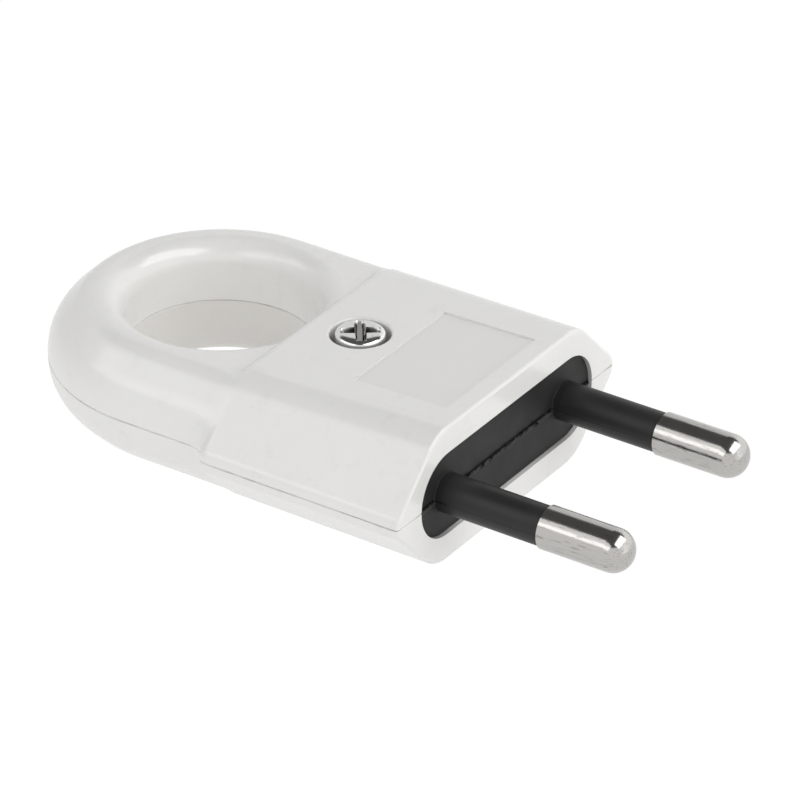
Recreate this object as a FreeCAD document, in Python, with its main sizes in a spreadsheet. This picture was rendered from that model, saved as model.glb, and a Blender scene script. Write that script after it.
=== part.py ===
import FreeCAD, Part

import math
import os
import re

import Sketcher

# Flat two-pin mains plug with a finger ring. Millimetres, +Z up.
# Origin: middle of the engagement face, on the plane of the two pin axes.
# The pins point to -Y, the finger ring to +Y, and the two shells part at Z = 0.

SIZES = {
    # contact pins and their carrier
    "pin_spacing": 19.0,
    "pin_diameter": 4.0,
    "pin_reach": 18.6,
    "pin_tip_flat": 0.2,
    "pin_core_diameter": 2.8,
    "pin_collar_diameter": 5.0,
    "pin_collar_length": 6.0,
    "wire_bore_diameter": 2.2,
    "wire_bore_length": 4.6,
    "sleeve_diameter": 3.65,
    "sleeve_reach": 10.1,
    "carrier_recess": 0.35,
    "flange_length": 2.4,
    "flange_ledge": 0.8,
    "barrel_diameter": 6.4,
    "barrel_length": 3.2,
    # body block and its front opening
    "side_margin": 8.0,
    "front_height": 13.52,
    "top_fall": 0.54,
    "side_land": 0.7,
    "body_depth": 21.3,
    "ridge_round": 4.4,
    "side_round": 1.4,
    "front_round": 0.35,
    "rear_round": 1.3,
    "parting_bevel": 0.08,
    "wall": 1.9,
    "rear_wall": 2.1,
    "rim_side": 3.7,
    "rim_top": 2.66,
    "lip_depth": 2.2,
    "fit_clearance": 0.1,
    # finger ring
    "ring_inset": 1.85,
    "upper_ring_step": 0.52,
    "lower_ring_step": 0.66,
    "upper_ring_land": 2.3,
    "lower_ring_land": 2.4,
    "ring_round": 5.3,
    "ring_ridge_round": 2.8,
    "hole_diameter": 17.5,
    "upper_hole_round": 2.2,
    "lower_hole_round": 1.55,
    "hole_web": 0.4,
    "core_width": 3.2,
    "core_depth": 2.8,
    "core_sweep": 70.0,
    "peg_diameter": 2.6,
    "peg_height": 1.6,
    # cord path
    "channel_width": 4.5,
    "channel_height": 4.5,
    "grip_gap": 3.0,
    # housing screw and nut
    "screw_back": 3.6,
    "screw_diameter": 2.5,
    "screw_clearance": 0.15,
    "screw_end": 0.3,
    "head_diameter": 4.6,
    "head_height": 2.4,
    "head_dome": 0.7,
    "head_rise": 0.28,
    "recess_span": 3.4,
    "recess_width": 0.9,
    "recess_depth": 1.4,
    "well_clearance": 0.45,
    "well_round": 0.25,
    "boss_wall": 1.75,
    "nut_across_flats": 5.0,
    "nut_height": 2.0,
    "nut_sink": 0.56,
    "nut_clearance": 0.1,
    # terminal screws
    "terminal_screw_diameter": 2.4,
    "terminal_head_diameter": 3.6,
    "terminal_head_height": 1.2,
    "terminal_head_gap": 0.2,
    "terminal_slot_width": 0.7,
    "thread_clearance": 0.05,
    # marking field
    "field_width": 14.4,
    "field_front": 1.9,
    "field_gap": 1.4,
    "field_depth": 0.18,
}

# Shells that the cord's gripping ribs stand in, from the terminals towards the ring
RIBS = ("upper", "lower", "upper")

# Sizes and places that follow from these, as expressions. A round stays inside the faces that it joins.
PLACES = {
    "pin_tip_round": "((pin_diameter - pin_tip_flat) / 2)",
    "front_width": "(pin_spacing + 2 * side_margin)",
    "rear_height": "(front_height - 2 * top_fall)",
    "slope": "atan(top_fall / body_depth)",
    "slope_line": "(front_width / 2 + side_land)",
    "land_round": "min(side_round; (side_land - 1.2 * parting_bevel) / (sqrt(2) - 1))",
    "opening_width": "(front_width - 2 * rim_side)",
    "opening_height": "(front_height - 2 * rim_top)",
    "flange_rear": "(lip_depth + flange_length)",
    "cavity_front": "(flange_rear + fit_clearance)",
    "cavity_rear": "(body_depth - rear_wall)",
    "cavity_slope_line": "(slope_line - wall * sqrt(2))",
    "ceiling": "(rear_height / 2 - wall)",
    "collar_front": "(flange_rear + barrel_length)",
    "collar_rear": "(collar_front + pin_collar_length)",
    "rib_pitch": f"((cavity_rear - collar_rear) / {len(RIBS) + 2})",
    "terminal_place": "(collar_rear - wire_bore_length / 2)",
    "terminal_head_seat": "(pin_collar_diameter / 2 + terminal_head_gap)",
    "terminal_outer_edge": "(pin_spacing / 2 + terminal_head_diameter / 2 + 2 * fit_clearance)",
    "terminal_head_limit": "min(ceiling - fit_clearance; cavity_slope_line - terminal_outer_edge)",
    "terminal_head_top": "min(terminal_head_seat + terminal_head_height; terminal_head_limit)",
    "ring_width": "(front_width - 2 * ring_inset)",
    "hole_centre": "(body_depth + hole_web + hole_diameter / 2)",
    "arm_middle": "(hole_diameter / 4 + ring_width / 4)",
    "screw_place": "(cavity_rear - screw_back)",
    "screw_top": "(front_height / 2 - top_fall * screw_place / body_depth)",
    "head_crown": "(screw_top + head_rise)",
    "screw_seat": "(head_crown - head_height)",
    "nut_seat": "(screw_top - nut_sink - nut_height)",
    "well_diameter": "(head_diameter + 2 * well_clearance)",
    "boss_diameter": "(well_diameter + 2 * boss_wall)",
    "field_rear": "(screw_place - well_diameter / 2 - field_gap)",
}
for half in ("upper", "lower"):
    ring_top = f"(rear_height / 2 - {half}_ring_step)"
    ring_slope = f"({ring_top} - {half}_ring_land)"
    ring_ridge = f"(ring_width / 2 - {ring_slope})"
    land_reach = f"({half}_ring_land - 1.2 * parting_bevel) / (sqrt(2) - 1)"
    rim_flat = f"({ring_ridge} - ring_ridge_round * (sqrt(2) - 1) - hole_diameter / 2)"
    PLACES[f"{half}_ring_top"] = ring_top
    PLACES[f"{half}_ring_slope"] = ring_slope
    PLACES[f"{half}_ring_ridge"] = ring_ridge
    PLACES[f"{half}_ring_side_round"] = f"min(ring_round; {land_reach})"
    PLACES[f"{half}_rim_round"] = f"min({half}_hole_round; 0.95 * {rim_flat})"

doc = FreeCAD.newDocument("Plug")
sheet = doc.addObject("Spreadsheet::Sheet", "Sizes")
for row, (alias, size) in enumerate(SIZES.items(), start=1):
    sheet.set(f"A{row}", alias)
    sheet.set(f"B{row}", str(size))
    sheet.setAlias(f"B{row}", alias)
doc.recompute()


def link(expression):
    """Write the shared places out and give each size its sheet's name."""
    while any(re.search(rf"\b{name}\b", expression) for name in PLACES):
        expression = re.sub(r"[a-z_]+", lambda word: PLACES.get(word.group(), word.group()), expression)
    return re.sub(r"[a-z_]+", lambda word: "Sizes." * (word.group() in SIZES) + word.group(), expression)


def value(expression):
    """The number that an expression of sheet sizes stands for."""
    return float(sheet.evalExpression(link(expression)))


def bind(target, name, expression):
    target.setExpression(name, link(expression))


def new_body(label):
    body = doc.addObject("PartDesign::Body", label)
    body.Label = label
    return body


def new_sketch(body, name, plane, height="0", tilt=None):
    """A sketch on one of the body's own planes, moved along that plane's normal."""
    sketch = body.newObject("Sketcher::SketchObject", name)
    origin_plane = [item for item in body.Origin.OriginFeatures if item.Role == plane]
    sketch.AttachmentSupport = [(origin_plane[0], "")]
    sketch.MapMode = "FlatFace"
    if tilt:
        sketch.AttachmentOffset = FreeCAD.Placement(
            FreeCAD.Vector(0, 0, 0), FreeCAD.Rotation(FreeCAD.Vector(1, 0, 0), 1.0)
        )
        bind(sketch, "AttachmentOffset.Rotation.Angle", tilt)
    bind(sketch, "AttachmentOffset.Base.z", height)
    return sketch


def dimension(sketch, kind, geometry, point, expression):
    index = sketch.addConstraint(Sketcher.Constraint(kind, geometry, point, value(expression)))
    bind(sketch, f"Constraints[{index}]", expression)


def add_polygon(sketch, corners):
    """A closed polygon with each corner at a pair of expressions."""
    points = [FreeCAD.Vector(value(x), value(y), 0) for x, y in corners]
    first = sketch.GeometryCount
    count = len(points)
    for index in range(count):
        sketch.addGeometry(Part.LineSegment(points[index], points[(index + 1) % count]))
    for index in range(count):
        following = first + (index + 1) % count
        sketch.addConstraint(Sketcher.Constraint("Coincident", first + index, 2, following, 1))
    for index, (x, y) in enumerate(corners):
        dimension(sketch, "DistanceX", first + index, 1, x)
        dimension(sketch, "DistanceY", first + index, 1, y)


def add_rectangle(sketch, left, right, front, rear):
    add_polygon(sketch, [(left, front), (right, front), (right, rear), (left, rear)])


def add_circle(sketch, x, y, diameter):
    centre = FreeCAD.Vector(value(x), value(y), 0)
    index = sketch.addGeometry(Part.Circle(centre, FreeCAD.Vector(0, 0, 1), value(diameter) / 2))
    dimension(sketch, "DistanceX", index, 3, x)
    dimension(sketch, "DistanceY", index, 3, y)
    size = sketch.addConstraint(Sketcher.Constraint("Diameter", index, value(diameter)))
    bind(sketch, f"Constraints[{size}]", diameter)


def add_slot(sketch, width, height):
    """A lying oval, two half circles joined by straight lines, centred on the origin."""
    radius = value(height) / 2
    reach = value(width) / 2 - radius
    up = FreeCAD.Vector(0, 0, 1)
    right = Part.Circle(FreeCAD.Vector(reach, 0, 0), up, radius)
    left = Part.Circle(FreeCAD.Vector(-reach, 0, 0), up, radius)
    half = math.pi / 2
    top = [FreeCAD.Vector(x, radius, 0) for x in (reach, -reach)]
    bottom = [FreeCAD.Vector(x, -radius, 0) for x in (-reach, reach)]
    sketch.addGeometry(Part.ArcOfCircle(right, -half, half))
    sketch.addGeometry(Part.LineSegment(*top))
    sketch.addGeometry(Part.ArcOfCircle(left, half, 3 * half))
    sketch.addGeometry(Part.LineSegment(*bottom))
    for end, start in ((0, 1), (1, 2), (2, 3), (3, 0)):
        sketch.addConstraint(Sketcher.Constraint("Tangent", end, 2, start, 1))
    for arc, side in ((0, ""), (2, "-")):
        dimension(sketch, "DistanceX", arc, 3, f"{side}(({width}) - ({height})) / 2")
        dimension(sketch, "DistanceY", arc, 3, "0")
    size = sketch.addConstraint(Sketcher.Constraint("Radius", 0, radius))
    bind(sketch, f"Constraints[{size}]", f"({height}) / 2")


def volume(body):
    return 0.0 if body.Shape.isNull() else body.Shape.Volume


def extrude(body, kind, name, sketch, length, reverse=False, both_ways=False):
    """Pad a sketch along its plane's normal, or pocket it against that normal."""
    before = volume(body)
    feature = body.newObject(f"PartDesign::{kind}", name)
    feature.Profile = sketch
    feature.Reversed = reverse
    if both_ways:
        feature.SideType = "Symmetric"
    bind(feature, "Length", length)
    doc.recompute()
    grown = volume(body) - before
    if (kind == "Pad") != (grown > 0):
        raise ValueError(f"{body.Label} {name} changed the volume by {grown}")
    return feature


def turn(body, name, sketch):
    """Turn a half section about the upright axis of its sketch."""
    feature = body.newObject("PartDesign::Revolution", name)
    feature.Profile = sketch
    feature.ReferenceAxis = (sketch, ["V_Axis"])
    feature.Angle = 360
    doc.recompute()


def nearest_edges(shape, places):
    """Names of the edges that pass nearest to some places."""
    names = []
    for place in places:
        vertex = Part.Vertex(*[value(each) for each in place])
        gaps = [edge.distToShape(vertex)[0] for edge in shape.Edges]
        names.append(f"Edge{gaps.index(min(gaps)) + 1}")
    return names


def dress(body, kind, name, places, size):
    """Fillet or chamfer the edges of a body's last feature that pass nearest to some places."""
    base = body.Tip
    feature = body.newObject(f"PartDesign::{kind}", name)
    feature.Base = (base, nearest_edges(base.Shape, places))
    bind(feature, "Radius" if kind == "Fillet" else "Size", size)
    doc.recompute()
    return feature


def mirrored_places(places):
    """Each place and its twin across the middle plane."""
    return [(side + x, y, z) for x, y, z in places for side in ("", "-")]


def body_block(body, side):
    """Half of the plug's body: sloping sides and a flat top that falls a little towards the rear."""
    sketch = new_sketch(body, f"{side}_section", "XZ_Plane")
    half_width = "front_width / 2"
    top = "front_height / 2"
    right = [(half_width, "0"), (half_width, "side_land"), (f"slope_line - {top}", top)]
    left = [(f"-({x})", z) for x, z in reversed(right)]
    add_polygon(sketch, right + left)
    extrude(body, "Pad", f"{side}_block", sketch, "body_depth", reverse=True)
    sketch = new_sketch(body, f"{side}_fall", "YZ_Plane")
    add_polygon(sketch, [("0", top), ("body_depth", "rear_height / 2"), ("body_depth", top)])
    extrude(body, "Pocket", f"{side}_top", sketch, "front_width", both_ways=True)
    half_depth = "body_depth / 2"
    middle_height = "(front_height + rear_height) / 4"
    ridge = (f"(slope_line - {middle_height})", half_depth, middle_height)
    land = (f"({half_width})", half_depth, "side_land")
    dress(body, "Fillet", f"{side}_ridges", mirrored_places([ridge]), "ridge_round")
    dress(body, "Fillet", f"{side}_lands", mirrored_places([land]), "land_round")
    dress(body, "Fillet", f"{side}_rear_edge", [("0", "body_depth", "rear_height / 2")], "rear_round")
    dress(body, "Fillet", f"{side}_front_edge", [("0", "0", top)], "front_round")
    dress(body, "Chamfer", f"{side}_parting", [("0", "0", "0")], "parting_bevel")


def ring_block(side):
    """Half of the finger ring: a bevelled and rounded loop whose arms run into the body block."""
    body = new_body(f"{side}_ring")
    sketch = new_sketch(body, f"{side}_ring_outline", "XY_Plane")
    half = value("ring_width / 2")
    start = value("cavity_rear")
    centre = value("hole_centre")
    corners = [(-half, centre), (-half, start), (half, start), (half, centre)]
    points = [FreeCAD.Vector(x, y, 0) for x, y in corners]
    for first, second in zip(points, points[1:]):
        sketch.addGeometry(Part.LineSegment(first, second))
    circle = Part.Circle(FreeCAD.Vector(0, centre, 0), FreeCAD.Vector(0, 0, 1), half)
    sketch.addGeometry(Part.ArcOfCircle(circle, 0, math.pi))
    for line in (0, 1):
        sketch.addConstraint(Sketcher.Constraint("Coincident", line, 2, line + 1, 1))
    sketch.addConstraint(Sketcher.Constraint("Tangent", 2, 2, 3, 1))
    sketch.addConstraint(Sketcher.Constraint("Tangent", 3, 2, 0, 1))
    sketch.addConstraint(Sketcher.Constraint("Vertical", 0))
    sketch.addConstraint(Sketcher.Constraint("Horizontal", 1))
    dimension(sketch, "DistanceX", 3, 3, "0")
    dimension(sketch, "DistanceY", 3, 3, "hole_centre")
    dimension(sketch, "DistanceX", 2, 1, "ring_width / 2")
    dimension(sketch, "DistanceY", 2, 1, "cavity_rear")
    top = f"{side}_ring_top"
    extrude(body, "Pad", f"{side}_ring_pad", sketch, top)
    sketch = new_sketch(body, f"{side}_hole_outline", "XY_Plane")
    add_circle(sketch, "0", "hole_centre", "hole_diameter")
    extrude(body, "Pocket", f"{side}_finger_hole", sketch, top, reverse=True)
    rear = "hole_centre + ring_width / 2"
    land = ("0", rear, f"{side}_ring_land")
    ridge = ("0", f"hole_centre + {side}_ring_ridge", top)
    dress(body, "Chamfer", f"{side}_ring_bevel", [("0", rear, top)], f"{side}_ring_slope")
    dress(body, "Fillet", f"{side}_ring_side", [land], f"{side}_ring_side_round")
    dress(body, "Fillet", f"{side}_ring_crest", [ridge], "ring_ridge_round")
    hole_rear = "hole_centre + hole_diameter / 2"
    dress(body, "Fillet", f"{side}_hole_rim", [("0", hole_rear, top)], f"{side}_rim_round")
    dress(body, "Chamfer", f"{side}_ring_parting", [("0", rear, "0"), ("0", hole_rear, "0")], "parting_bevel")
    return body


def front_opening(body, side):
    """The oval front opening, the groove behind it for the carrier's flange, and the wiring space."""
    sketch = new_sketch(body, f"{side}_opening_outline", "XZ_Plane")
    add_slot(sketch, "opening_width", "opening_height")
    extrude(body, "Pocket", f"{side}_opening", sketch, "lip_depth")
    sketch = new_sketch(body, f"{side}_groove_outline", "XZ_Plane", "-lip_depth")
    groove = "2 * (flange_ledge + fit_clearance)"
    add_slot(sketch, f"opening_width + {groove}", f"opening_height + {groove}")
    extrude(body, "Pocket", f"{side}_groove", sketch, "cavity_front - lip_depth")
    sketch = new_sketch(body, f"{side}_cavity_outline", "XZ_Plane", "-cavity_front")
    right = [("cavity_slope_line", "0"), ("cavity_slope_line - ceiling", "ceiling")]
    left = [(f"-({x})", z) for x, z in reversed(right)]
    add_polygon(sketch, right + left)
    extrude(body, "Pocket", f"{side}_cavity", sketch, "cavity_rear - cavity_front")


def cord_path(body, side, far):
    """The channel through the far arm of the ring, and the ribs that grip the cord before it."""
    sketch = new_sketch(body, f"{side}_channel_outline", "XY_Plane")
    inner = f"{far}(arm_middle - channel_width / 2)"
    outer = f"{far}(arm_middle + channel_width / 2)"
    add_rectangle(sketch, inner, outer, "cavity_rear - wall / 4", "hole_centre + ring_width / 2")
    extrude(body, "Pocket", f"{side}_channel", sketch, "channel_height / 2", reverse=True)
    edge = "grip_gap / 2"
    roof = "(ceiling + wall / 4)"
    sink = "(cavity_slope_line + wall / 4)"
    corners = [(inner, edge), (f"{far}({sink} - {edge})", edge)]
    corners += [(f"{far}({sink} - {roof})", roof), (inner, roof)]
    for number, owner in enumerate(RIBS, start=1):
        if owner == side:
            rear = f"-(collar_rear + {number + 1} * rib_pitch - fit_clearance)"
            sketch = new_sketch(body, f"{side}_rib_outline_{number}", "XZ_Plane", rear)
            add_polygon(sketch, corners)
            extrude(body, "Pad", f"{side}_rib_{number}", sketch, "rib_pitch - fit_clearance")


def arm_core(body, side, near):
    """The moulded hollow in the near arm, straight along the arm and then round the ring."""
    inner = f"{near}(arm_middle - core_width / 2)"
    outer = f"{near}(arm_middle + core_width / 2)"
    sketch = new_sketch(body, f"{side}_core_outline", "XY_Plane")
    add_rectangle(sketch, inner, outer, "body_depth + wall", "hole_centre")
    extrude(body, "Pocket", f"{side}_core", sketch, "core_depth", reverse=True)
    sketch = new_sketch(body, f"{side}_core_section", "XZ_Plane", "-hole_centre")
    add_rectangle(sketch, inner, outer, "0", "core_depth")
    before = volume(body)
    groove = body.newObject("PartDesign::Groove", f"{side}_core_bend")
    groove.Profile = sketch
    groove.ReferenceAxis = (sketch, ["V_Axis"])
    groove.Reversed = side == "upper"
    bind(groove, "Angle", "core_sweep")
    doc.recompute()
    if volume(body) >= before:
        raise ValueError(f"{groove.Label} cut nothing")


def screw_boss(body, side):
    """The column round the housing screw, from the parting plane to the roof of the wiring space."""
    sketch = new_sketch(body, f"{side}_boss_outline", "XY_Plane")
    add_circle(sketch, "0", "screw_place", "boss_diameter")
    extrude(body, "Pad", f"{side}_boss", sketch, "ceiling + wall / 4")
    sketch = new_sketch(body, f"{side}_screw_hole_outline", "XY_Plane")
    add_circle(sketch, "0", "screw_place", "screw_diameter + 2 * screw_clearance")
    extrude(body, "Pocket", f"{side}_screw_hole", sketch, "front_height / 2", reverse=True)


def screw_well(body):
    """The round well for the screw head, open to the top, with a softened mouth."""
    sketch = new_sketch(body, "well_outline", "XY_Plane", "screw_seat")
    add_circle(sketch, "0", "screw_place", "well_diameter")
    extrude(body, "Pocket", "well", sketch, "front_height / 2 - screw_seat", reverse=True)
    mouth = ("0", "screw_place + well_diameter / 2", "screw_top")
    dress(body, "Fillet", "well_mouth", [mouth], "well_round")


def hexagon(across_flats, centre_y):
    """Corners of a hexagon whose flats face left and right."""
    half = f"({across_flats}) / 2"
    side = f"({across_flats}) / (2 * sqrt(3))"
    front, rear = f"{centre_y} - {side}", f"{centre_y} + {side}"
    tips = [("0", f"{centre_y} + 2 * {side}"), ("0", f"{centre_y} - 2 * {side}")]
    return [(half, front), (half, rear), tips[0], (f"-{half}", rear), (f"-{half}", front), tips[1]]


def nut_pocket(body):
    """The hexagonal pocket for the nut, open to the underside."""
    sketch = new_sketch(body, "nut_pocket_outline", "XY_Plane", "nut_seat")
    add_polygon(sketch, hexagon("nut_across_flats + 2 * nut_clearance", "screw_place"))
    extrude(body, "Pocket", "nut_pocket", sketch, "front_height / 2 - nut_seat", reverse=True)


def marking_field(body):
    """The shallow rectangular field on the sloping top."""
    sketch = new_sketch(body, "field_outline", "XY_Plane", "front_height / 2", tilt="-slope")
    half = "field_width / 2"
    add_rectangle(sketch, f"-{half}", half, "field_front", "field_rear")
    extrude(body, "Pocket", "field", sketch, "field_depth")


def locating_peg(body, side):
    """The peg on the lower shell at the rear of the ring, or its socket in the upper shell."""
    sketch = new_sketch(body, f"{side}_peg_outline", "XY_Plane")
    place = "hole_centre + arm_middle"
    if side == "upper":
        add_circle(sketch, "0", place, "peg_diameter + 2 * fit_clearance")
        extrude(body, "Pocket", "peg_socket", sketch, "peg_height + fit_clearance", reverse=True)
    else:
        add_circle(sketch, "0", place, "peg_diameter")
        extrude(body, "Pad", "peg", sketch, "peg_height", reverse=True)


def shell(side):
    """One half of the housing, modelled with its outside up."""
    upper = side == "upper"
    near, far = ("-", "") if upper else ("", "-")
    body = new_body(f"{side}_shell")
    body_block(body, side)
    ring = ring_block(side)
    join = body.newObject("PartDesign::Boolean", f"{side}_join")
    join.Type = "Fuse"
    join.setObjects([ring])
    doc.recompute()
    front_opening(body, side)
    cord_path(body, side, far)
    arm_core(body, side, near)
    screw_boss(body, side)
    locating_peg(body, side)
    if upper:
        screw_well(body)
        marking_field(body)
    else:
        nut_pocket(body)
        over = FreeCAD.Rotation(FreeCAD.Vector(0, 1, 0), 180)
        body.Placement = FreeCAD.Placement(FreeCAD.Vector(0, 0, 0), over)
    return body


def contact_pin(side, place):
    """A turned pin: domed contact end, thin core in the sleeve, and a bored collar for the wire."""
    body = new_body(f"{side}_pin")
    sketch = new_sketch(body, f"{side}_pin_profile", "XY_Plane")
    contact = "pin_diameter / 2"
    core = "pin_core_diameter / 2"
    collar = "pin_collar_diameter / 2"
    bore = "wire_bore_diameter / 2"
    add_polygon(sketch, [
        ("0", "-pin_reach"), (contact, "-pin_reach"), (contact, "-sleeve_reach"), (core, "-sleeve_reach"),
        (core, "collar_front"), (collar, "collar_front"), (collar, "collar_rear"), (bore, "collar_rear"),
        (bore, "collar_rear - wire_bore_length"), ("0", "collar_rear - wire_bore_length"),
    ])
    turn(body, f"{side}_pin_turned", sketch)
    dress(body, "Fillet", f"{side}_pin_dome", [("0", "-pin_reach", contact)], "pin_tip_round")
    sketch = new_sketch(body, f"{side}_terminal_hole_outline", "XY_Plane")
    add_circle(sketch, "0", "terminal_place", "terminal_screw_diameter + 2 * thread_clearance")
    extrude(body, "Pocket", f"{side}_terminal_hole", sketch, collar, reverse=True)
    bind(body, "Placement.Base.x", place)
    return body


def terminal_screw(side, place):
    """A slotted screw through the collar of a pin, down to the wire."""
    body = new_body(f"{side}_terminal_screw")
    sketch = new_sketch(body, f"{side}_terminal_shank_outline", "XY_Plane", "screw_end")
    add_circle(sketch, "0", "terminal_place", "terminal_screw_diameter")
    extrude(body, "Pad", f"{side}_terminal_shank", sketch, "terminal_head_seat - screw_end")
    height = "terminal_head_top - terminal_head_seat"
    sketch = new_sketch(body, f"{side}_terminal_head_outline", "XY_Plane", "terminal_head_seat")
    add_circle(sketch, "0", "terminal_place", "terminal_head_diameter")
    extrude(body, "Pad", f"{side}_terminal_head", sketch, height)
    sketch = new_sketch(body, f"{side}_terminal_slot_outline", "XY_Plane", "terminal_head_top")
    reach = "terminal_head_diameter"
    half = "terminal_slot_width / 2"
    add_rectangle(sketch, f"-{reach}", reach, f"terminal_place - {half}", f"terminal_place + {half}")
    extrude(body, "Pocket", f"{side}_terminal_slot", sketch, f"({height}) / 2")
    bind(body, "Placement.Base.x", place)
    return body


def pin_carrier():
    """The black moulding: front plate, flange held in the shells' groove, rear barrels and sleeves."""
    body = new_body("pin_carrier")
    plate = "2 * fit_clearance"
    sketch = new_sketch(body, "plate_outline", "XZ_Plane", "-lip_depth")
    add_slot(sketch, f"opening_width - {plate}", f"opening_height - {plate}")
    extrude(body, "Pad", "plate", sketch, "lip_depth - carrier_recess")
    sketch = new_sketch(body, "flange_outline", "XZ_Plane", "-flange_rear")
    add_slot(sketch, "opening_width + 2 * flange_ledge", "opening_height + 2 * flange_ledge")
    extrude(body, "Pad", "flange", sketch, "flange_length")
    places = ("-pin_spacing / 2", "pin_spacing / 2")
    for name, height, diameter, length, reverse in (
        ("barrels", "-flange_rear", "barrel_diameter", "barrel_length", True),
        ("sleeves", "-carrier_recess", "sleeve_diameter", "sleeve_reach + carrier_recess", False),
    ):
        sketch = new_sketch(body, f"{name}_outline", "XZ_Plane", height)
        for place in places:
            add_circle(sketch, place, "0", diameter)
        extrude(body, "Pad", name, sketch, length, reverse=reverse)
    sketch = new_sketch(body, "bores_outline", "XZ_Plane", "sleeve_reach")
    for place in places:
        add_circle(sketch, place, "0", "pin_core_diameter")
    extrude(body, "Pocket", "bores", sketch, "sleeve_reach + collar_front")
    return body


def screw_profile(sketch, foot):
    """Half of the screw's section: its axis, shank and head, closed by the arc of the domed top."""
    rim, shank = "head_diameter / 2", "screw_diameter / 2"
    corners = [(rim, "head_crown - head_dome"), (rim, "screw_seat"), (shank, "screw_seat"), (shank, foot)]
    corners += [("0", foot), ("0", "head_crown")]
    points = [FreeCAD.Vector(value(x), value(y), 0) for x, y in corners]
    lines = len(points) - 1
    for index in range(lines):
        sketch.addGeometry(Part.LineSegment(points[index], points[index + 1]))
        dimension(sketch, "DistanceX", index, 1, corners[index][0])
        dimension(sketch, "DistanceY", index, 1, corners[index][1])
    dome = value("(head_diameter * head_diameter / 4 + head_dome * head_dome) / (2 * head_dome)")
    centre = points[-1] - FreeCAD.Vector(0, dome, 0)
    edge = points[0] - centre
    circle = Part.Circle(centre, FreeCAD.Vector(0, 0, 1), dome)
    sketch.addGeometry(Part.ArcOfCircle(circle, math.atan2(edge.y, edge.x), math.pi / 2))
    for index in range(lines - 1):
        sketch.addConstraint(Sketcher.Constraint("Coincident", index, 2, index + 1, 1))
    sketch.addConstraint(Sketcher.Constraint("Coincident", lines, 1, 0, 1))
    sketch.addConstraint(Sketcher.Constraint("Coincident", lines, 2, lines - 1, 2))
    dimension(sketch, "DistanceX", lines, 2, corners[-1][0])
    dimension(sketch, "DistanceY", lines, 2, corners[-1][1])
    dimension(sketch, "DistanceX", lines, 3, "0")


def housing_screw():
    """The screw that holds the shells: a turned shank and domed head with a cross recess."""
    body = new_body("housing_screw")
    sketch = new_sketch(body, "screw_section", "XZ_Plane", "-screw_place")
    screw_profile(sketch, "-(nut_seat + nut_height + screw_end)")
    turn(body, "screw_turned", sketch)
    sketch = new_sketch(body, "recess_outline", "XY_Plane", "head_crown")
    thin, long = "recess_width / 2", "recess_span / 2"
    quarter = [(thin, long), (thin, thin), (long, thin)]
    cross = quarter + [(x, f"-{y}") for x, y in reversed(quarter)]
    cross += [(f"-{x}", f"-{y}") for x, y in quarter] + [(f"-{x}", y) for x, y in reversed(quarter)]
    add_polygon(sketch, [(x, f"screw_place + ({y})") for x, y in cross])
    extrude(body, "Pocket", "recess", sketch, "recess_depth")
    return body


def housing_nut():
    """The hexagonal nut in the lower shell."""
    body = new_body("housing_nut")
    sketch = new_sketch(body, "nut_outline", "XY_Plane", "-(nut_seat + nut_height)")
    add_polygon(sketch, hexagon("nut_across_flats", "screw_place"))
    add_circle(sketch, "0", "screw_place", "screw_diameter + 2 * thread_clearance")
    extrude(body, "Pad", "nut", sketch, "nut_height")
    return body


parts = [shell("upper"), shell("lower"), pin_carrier(), housing_screw(), housing_nut()]
for side, place in (("left", "-pin_spacing / 2"), ("right", "pin_spacing / 2")):
    parts.append(contact_pin(side, place))
    parts.append(terminal_screw(side, place))
doc.recompute()

failed = [item.Label for item in doc.Objects if {"Invalid", "Error"} & set(item.State)]
failed += [part.Label for part in parts if part.Shape.isNull() or not part.Shape.isValid()]
if failed:
    raise ValueError(f"not built: {failed}")
os.makedirs("parts", exist_ok=True)
for part in parts:
    part.Shape.exportStep(f"parts/{part.Label}.step")
    box = part.Shape.BoundBox
    print(part.Label, len(part.Shape.Solids), round(part.Shape.Volume, 1), box)
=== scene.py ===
import math

import bpy
import numpy as np
from mathutils import Matrix, Vector


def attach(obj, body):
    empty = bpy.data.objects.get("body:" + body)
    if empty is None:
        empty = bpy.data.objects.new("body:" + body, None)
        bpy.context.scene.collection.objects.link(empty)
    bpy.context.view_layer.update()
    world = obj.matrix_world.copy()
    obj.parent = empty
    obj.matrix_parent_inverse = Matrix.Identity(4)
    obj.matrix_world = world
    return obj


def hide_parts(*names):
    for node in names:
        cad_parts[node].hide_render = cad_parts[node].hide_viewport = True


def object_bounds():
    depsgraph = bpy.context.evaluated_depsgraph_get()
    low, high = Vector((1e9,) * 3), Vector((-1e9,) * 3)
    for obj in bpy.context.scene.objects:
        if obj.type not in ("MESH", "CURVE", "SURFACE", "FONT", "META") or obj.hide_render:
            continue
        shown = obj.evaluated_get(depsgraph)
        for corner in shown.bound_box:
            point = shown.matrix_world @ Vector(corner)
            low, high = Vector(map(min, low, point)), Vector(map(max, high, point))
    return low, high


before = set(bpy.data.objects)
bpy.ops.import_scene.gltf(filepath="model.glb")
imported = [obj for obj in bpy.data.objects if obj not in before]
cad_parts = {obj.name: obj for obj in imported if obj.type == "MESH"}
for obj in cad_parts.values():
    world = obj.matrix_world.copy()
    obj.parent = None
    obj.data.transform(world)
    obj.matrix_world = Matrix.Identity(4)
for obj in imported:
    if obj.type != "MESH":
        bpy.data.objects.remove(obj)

cad_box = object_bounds()
scene = bpy.context.scene
MM = 0.001
FULL_TURN = 2 * np.pi


# Shader helpers

def node(tree, kind, values=None, **settings):
    """A new node with its settings, and each named input given a value or a link."""
    made = tree.nodes.new("ShaderNode" + kind)
    for name, setting in settings.items():
        setattr(made, name, setting)
    for name, given in (values or {}).items():
        if isinstance(given, bpy.types.NodeSocket):
            tree.links.new(given, made.inputs[name])
        else:
            made.inputs[name].default_value = given
    return made


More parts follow.
